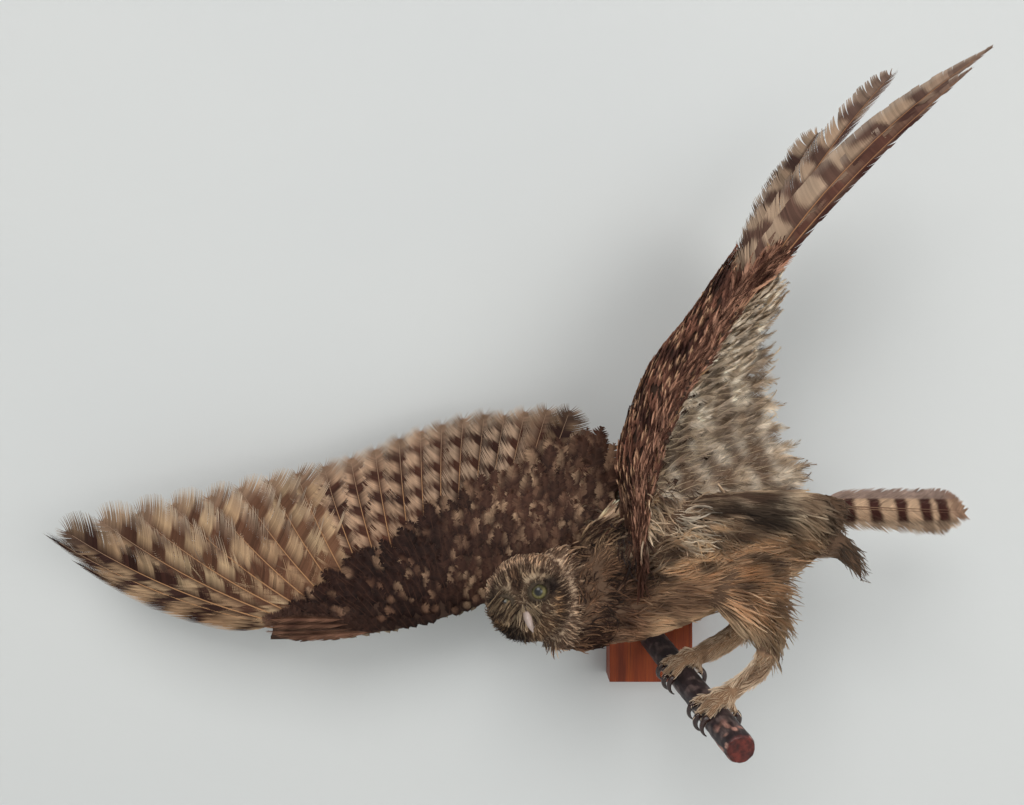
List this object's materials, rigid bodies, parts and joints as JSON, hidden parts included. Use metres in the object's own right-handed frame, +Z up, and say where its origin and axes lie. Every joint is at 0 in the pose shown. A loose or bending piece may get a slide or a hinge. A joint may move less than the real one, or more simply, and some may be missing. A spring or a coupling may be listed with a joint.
{
  "type": "taxidermy owl",
  "caption": "Small brown owl mounted in flight with spread spotted wings, gripping a short branch that stands out from a square wooden wall block.",
  "frame": {"origin": "centre of the wooden block's flat back face, which lies on the wall", "axes": "+Z up, +Y into the wall, +X towards the owl's tail; the bird stands out from the wall along -Y with its head towards -X"},
  "size_m": [0.4578, 0.1293, 0.3223],
  "materials": {
    "block_wood": "reddish stained and varnished wood with an upright grain",
    "bark": "dark purplish bark with a fine lengthwise grain, glossy reddish cut end",
    "flank_plumage": "soft loose body feathers, grey-cream to tan",
    "brown_plumage": "short brown feathers with cream streaks",
    "flight_feather": "stiff feathers, dark chocolate with cream bars and spots",
    "leg_plumage": "short buff down",
    "eye_glass": "clear glossy glass eye, yellow iris and dark pupil",
    "horn": "pale grey horn, half glossy",
    "claw_horn": "near-black horn, glossy"
  },
  "bodies": {
    "root": {"wall_block": "block_wood", "branch": "bark", "trunk": "flank_plumage", "vent": "flank_plumage", "neck": "brown_plumage", "head": "brown_plumage", "tail": "flight_feather", "wing_left_arm": "flight_feather", "wing_left_forearm": "flight_feather", "wing_left_hand": "flight_feather", "wing_right_arm": "flight_feather", "wing_right_forearm": "flight_feather", "wing_right_hand": "flight_feather", "eye_left": "eye_glass", "eye_right": "eye_glass", "bill_upper": "horn", "bill_lower": "horn", "thigh_left": "leg_plumage", "thigh_right": "leg_plumage", "shank_left": "leg_plumage", "shank_right": "leg_plumage", "foot_left": "leg_plumage", "foot_right": "leg_plumage", "claw_left_1": "claw_horn", "claw_left_2": "claw_horn", "claw_left_3": "claw_horn", "claw_left_4": "claw_horn", "claw_right_1": "claw_horn", "claw_right_2": "claw_horn", "claw_right_3": "claw_horn", "claw_right_4": "claw_horn"}
  },
  "joints": []
}
